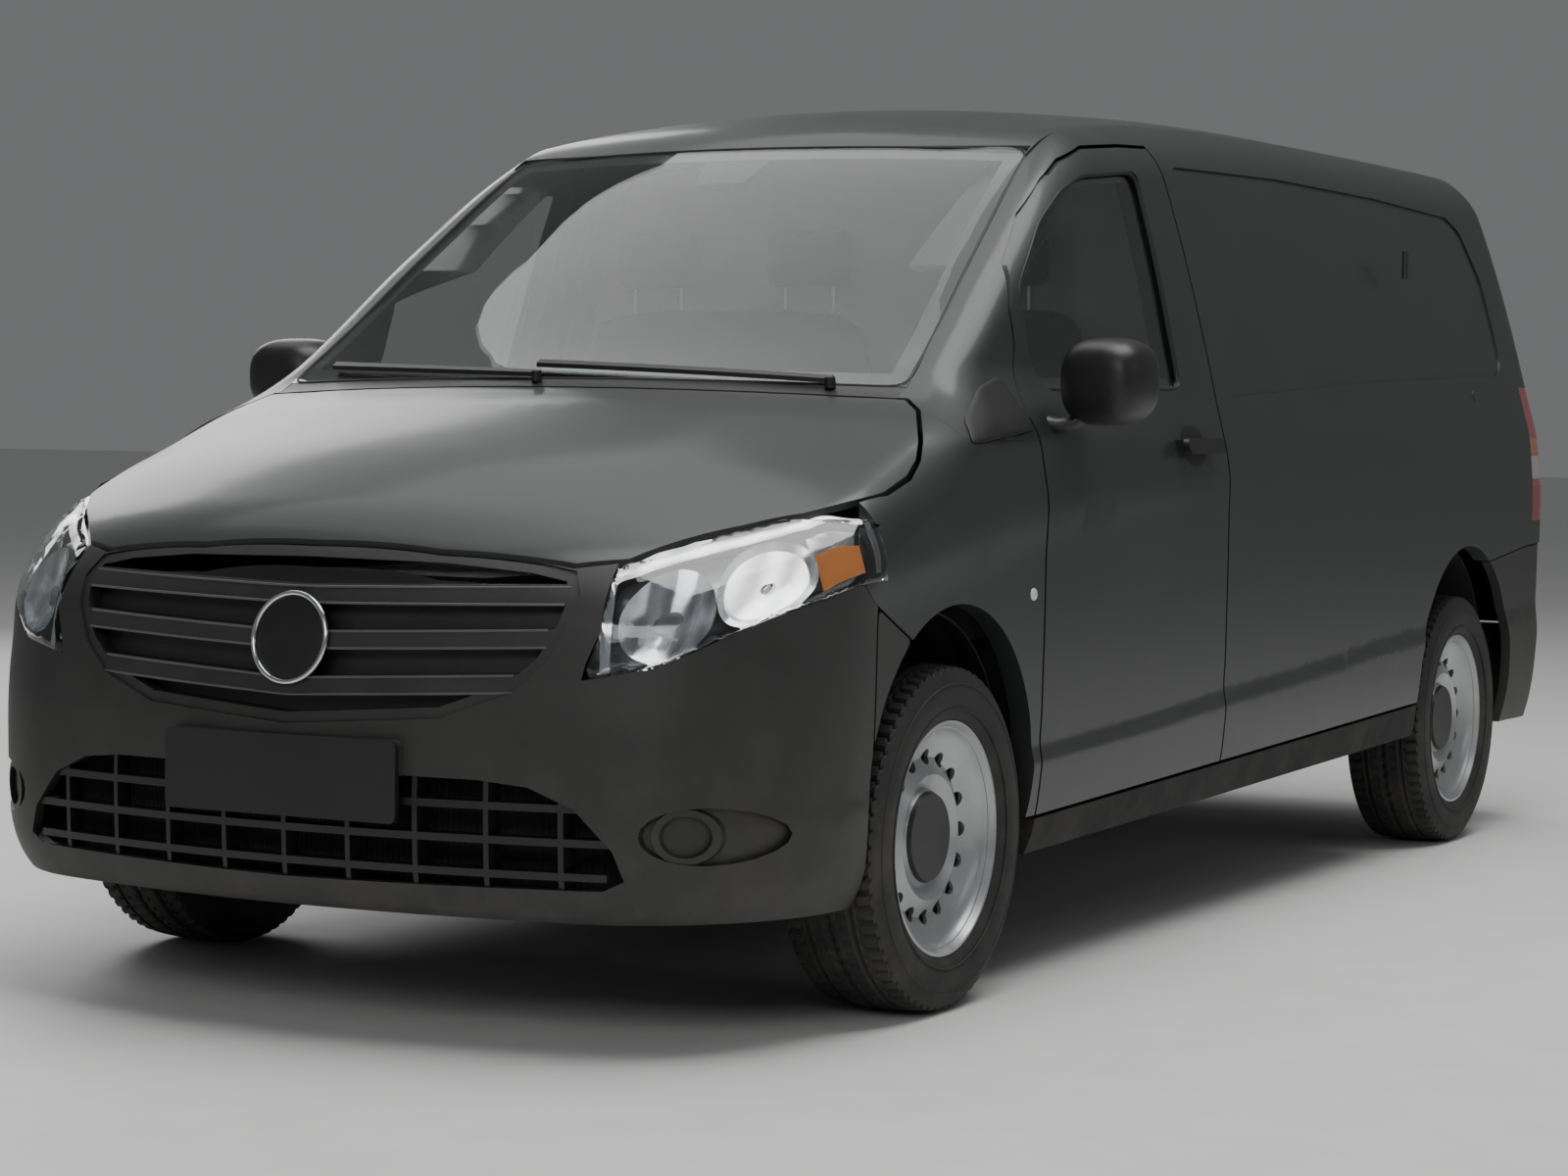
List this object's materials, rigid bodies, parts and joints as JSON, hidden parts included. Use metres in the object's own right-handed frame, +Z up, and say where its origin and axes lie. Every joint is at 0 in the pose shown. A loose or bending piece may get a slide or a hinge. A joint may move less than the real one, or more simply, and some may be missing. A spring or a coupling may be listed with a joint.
{
  "type": "panel van",
  "caption": "Mid-size panel van with hinged front doors, bonnet and rear doors, steered front wheels, a glazed cab and a closed load space.",
  "frame": {"origin": "centre of the footprint on the ground", "axes": "+Z up, the nose looks along -Y, +X is the van's left side"},
  "size_m": [2.248, 4.8952, 1.9049],
  "materials": {
    "body_paint": "satin dark green-grey paint",
    "grey_plastic": "grained dark grey plastic",
    "black_plastic": "matt black plastic",
    "soft_plastic": "soft dark plastic",
    "seat_cloth": "woven dark cloth",
    "lamp_clear": "clear lamp lens over bright reflectors",
    "lamp_red": "red lamp lens",
    "window_glass": "clear window glass",
    "underbody_metal": "black coated steel",
    "bulkhead_paint": "light painted sheet",
    "engine_metal": "cast block",
    "tyre_rubber": "black tyre rubber",
    "wheel_steel": "silver lacquered steel"
  },
  "bodies": {
    "body": {"floor_pan": "underbody_metal", "underframe": "underbody_metal", "side_panel_left": "body_paint", "side_panel_right": "body_paint", "sliding_door": "body_paint", "tail_lamp_left": "lamp_red", "tail_lamp_right": "lamp_red", "fender_left": "body_paint", "fender_right": "body_paint", "a_pillar_left": "body_paint", "a_pillar_right": "body_paint", "windscreen": "window_glass", "roof": "body_paint", "front_bumper": "grey_plastic", "grille": "black_plastic", "lower_grille": "black_plastic", "headlamp_left": "lamp_clear", "headlamp_right": "lamp_clear", "rear_bumper": "grey_plastic", "firewall": "underbody_metal", "bulkhead": "bulkhead_paint", "cowl_trim": "black_plastic", "wipers": "black_plastic", "dashboard": "soft_plastic", "seat_driver": "seat_cloth", "seat_bench": "seat_cloth", "engine_block": "engine_metal", "front_subframe": "underbody_metal", "rear_axle": "underbody_metal", "wheel_liner_left": "soft_plastic", "wheel_liner_right": "soft_plastic"},
    "hood_lid": {"hood": "body_paint"},
    "front_door_left": {"door_left": "body_paint", "door_glass_left": "window_glass", "mirror_left": "black_plastic"},
    "front_door_right": {"door_right": "body_paint", "door_glass_right": "window_glass", "mirror_right": "black_plastic"},
    "back_door_left": {"rear_door_left": "body_paint", "rear_glass_left": "window_glass"},
    "back_door_right": {"rear_door_right": "body_paint", "rear_glass_right": "window_glass"},
    "steering": {"steering_wheel": "soft_plastic"},
    "steer_knuckle_left": {"knuckle_left": "underbody_metal"},
    "steer_knuckle_right": {"knuckle_right": "underbody_metal"},
    "wheel_front_left": {"tyre_fl": "tyre_rubber", "rim_fl": "wheel_steel"},
    "wheel_front_right": {"tyre_fr": "tyre_rubber", "rim_fr": "wheel_steel"},
    "wheel_rear_left": {"tyre_rl": "tyre_rubber", "rim_rl": "wheel_steel"},
    "wheel_rear_right": {"tyre_rr": "tyre_rubber", "rim_rr": "wheel_steel"}
  },
  "joints": [
    {"name": "hood_hinge", "type": "hinge", "parent": "body", "child": "hood_lid", "pos_m": [0, -1.425, 1.2], "axis": [-1, 0, 0], "range_deg": [0, 55]},
    {"name": "door_left_hinge", "type": "hinge", "parent": "body", "child": "front_door_left", "pos_m": [0.95, -1.122, 0.75], "axis": [0.0523, 0, -0.9986], "range_deg": [0, 70]},
    {"name": "door_right_hinge", "type": "hinge", "parent": "body", "child": "front_door_right", "pos_m": [-0.95, -1.122, 0.75], "axis": [0.0523, 0, 0.9986], "range_deg": [0, 70]},
    {"name": "back_door_left_hinge", "type": "hinge", "parent": "body", "child": "back_door_left", "pos_m": [0.852, 2.411, 1], "axis": [0, 0.0286, -0.9996], "range_deg": [0, 180]},
    {"name": "back_door_right_hinge", "type": "hinge", "parent": "body", "child": "back_door_right", "pos_m": [-0.852, 2.411, 1], "axis": [0, -0.0286, 0.9996], "range_deg": [0, 180]},
    {"name": "steer_left", "type": "hinge", "parent": "body", "child": "steer_knuckle_left", "pos_m": [0.725, -1.5525, 0.338], "axis": [-0.1822, 0, 0.9833], "range_deg": [-35, 35]},
    {"name": "steer_right", "type": "hinge", "parent": "body", "child": "steer_knuckle_right", "pos_m": [-0.725, -1.5525, 0.338], "axis": [0.1822, 0, 0.9833], "range_deg": [-35, 35]},
    {"name": "wheel_spin_front_left", "type": "hinge", "parent": "steer_knuckle_left", "child": "wheel_front_left", "pos_m": [0.833, -1.5525, 0.338], "axis": [1, 0, 0], "continuous": true},
    {"name": "wheel_spin_front_right", "type": "hinge", "parent": "steer_knuckle_right", "child": "wheel_front_right", "pos_m": [-0.833, -1.5525, 0.338], "axis": [1, 0, 0], "continuous": true},
    {"name": "wheel_spin_rear_left", "type": "hinge", "parent": "body", "child": "wheel_rear_left", "pos_m": [0.823, 1.6475, 0.338], "axis": [1, 0, 0], "continuous": true},
    {"name": "wheel_spin_rear_right", "type": "hinge", "parent": "body", "child": "wheel_rear_right", "pos_m": [-0.823, 1.6475, 0.338], "axis": [1, 0, 0], "continuous": true},
    {"name": "steering_wheel_turn", "type": "hinge", "parent": "body", "child": "steering", "pos_m": [0.4, -0.77, 1.015], "axis": [0, 0.788, 0.6157], "range_deg": [-500, 500]}
  ],
  "couplings": [
    {"joint": "steer_right", "follows": "steer_left", "ratio": 1},
    {"joint": "steering_wheel_turn", "follows": "steer_left", "ratio": 14}
  ]
}
